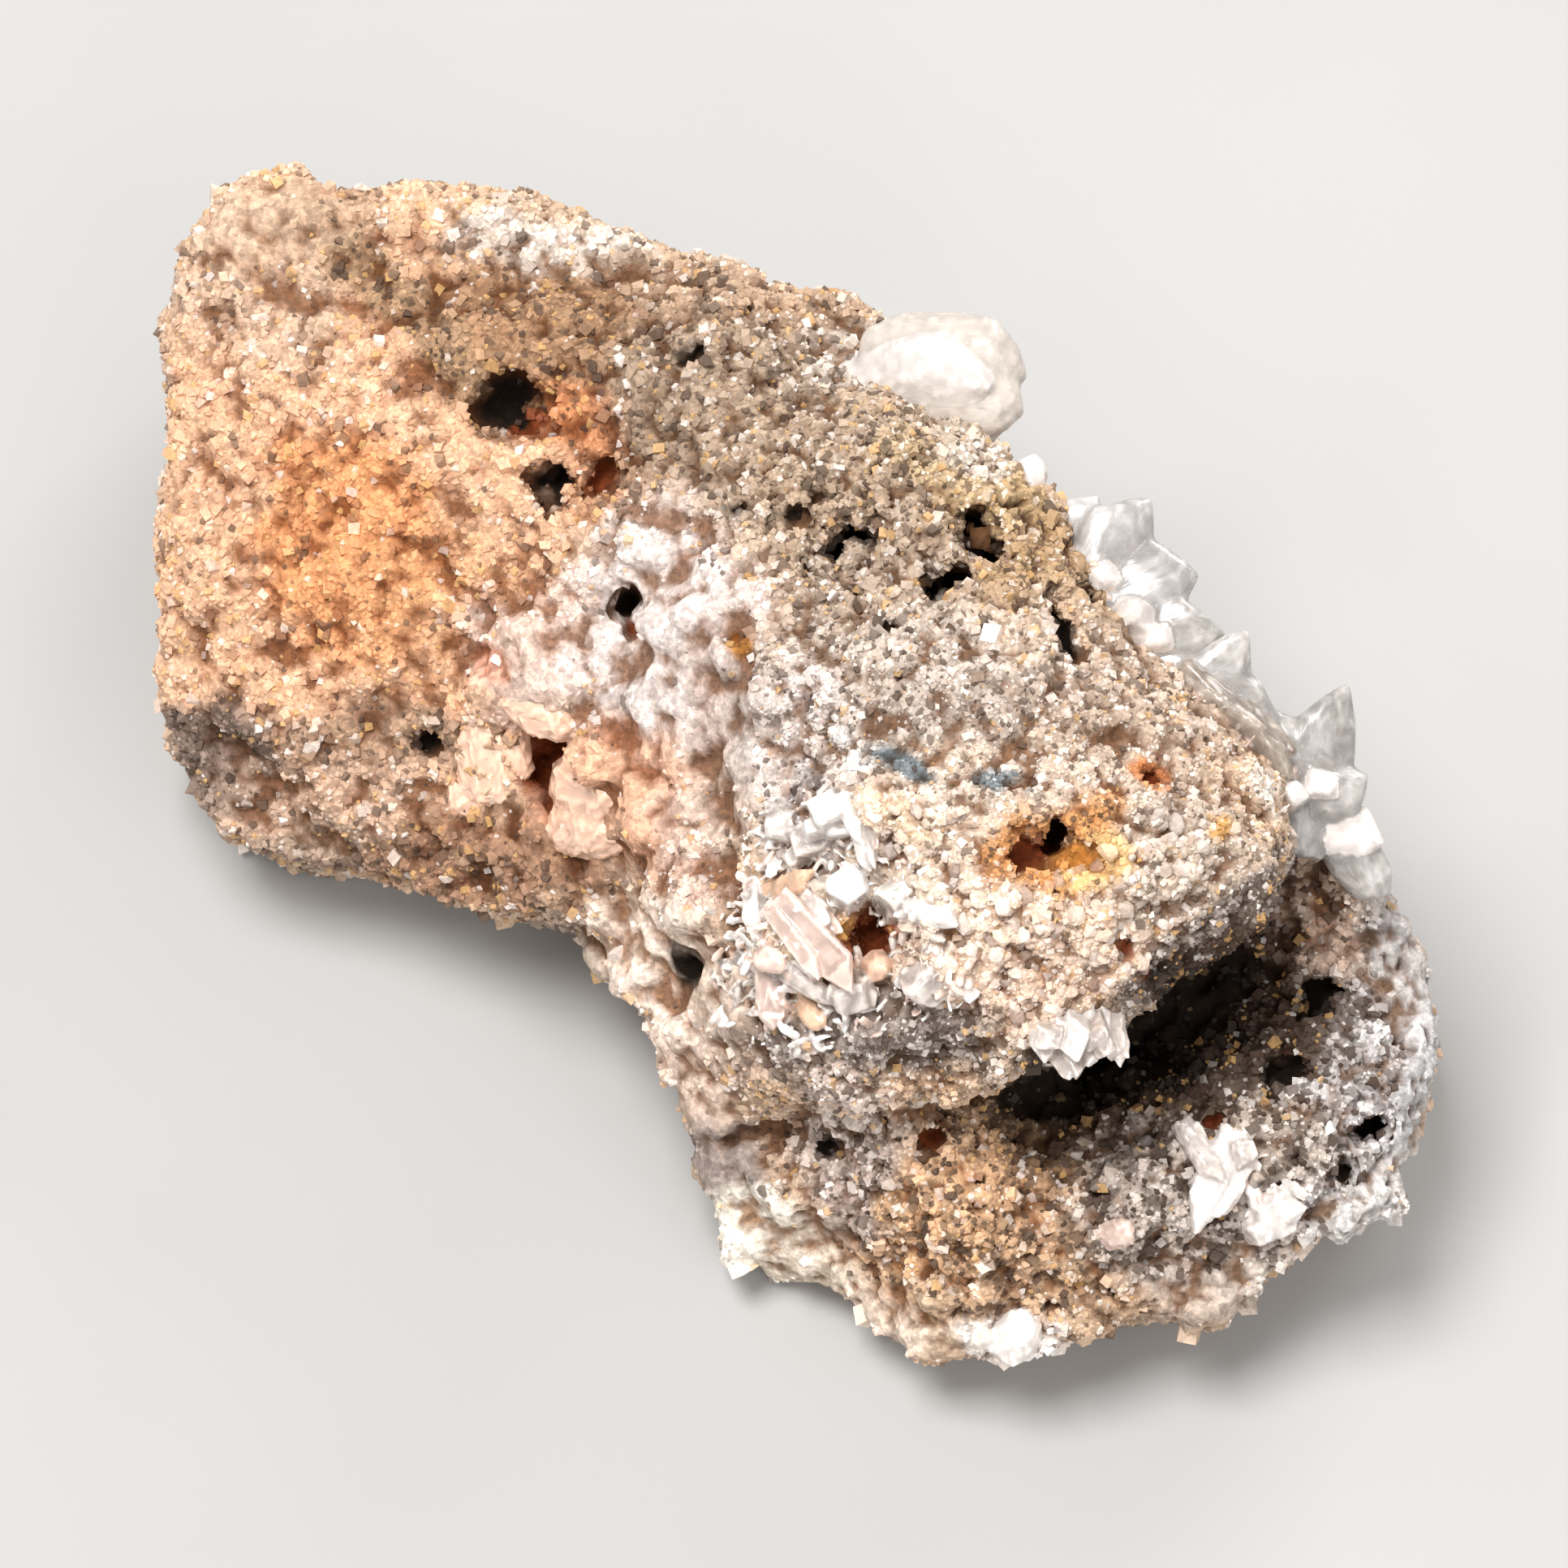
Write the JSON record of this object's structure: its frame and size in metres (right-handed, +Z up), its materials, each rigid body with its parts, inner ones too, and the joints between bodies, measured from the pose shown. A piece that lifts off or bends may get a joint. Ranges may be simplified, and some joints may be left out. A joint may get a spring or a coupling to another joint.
{
  "type": "barite crystal cluster",
  "caption": "Lumpy granular rock with an overhanging front block and an open hollow, carrying clear to milky bladed and blocky barite crystals; cut flat underneath.",
  "frame": {"origin": "centre of the footprint on the resting plane", "axes": "+Z up from the resting plane, -Y towards the display face, +X to the right of the display face"},
  "size_m": [0.0602, 0.0618, 0.0315],
  "materials": {
    "matrix": "granular, sandy and porous",
    "clear_barite": "vitreous, slightly cloudy",
    "milky_barite": "vitreous to pearly, milky",
    "pink_barite": "waxy, pinkish tan"
  },
  "bodies": {
    "root": {"matrix_rock": "matrix", "vug_blades": "clear_barite", "lip_tuft": "clear_barite", "top_knob": "milky_barite", "shoulder_crystals": "clear_barite", "spine_crystals": "clear_barite", "foot_crystals": "milky_barite", "side_slabs": "pink_barite"}
  },
  "joints": []
}
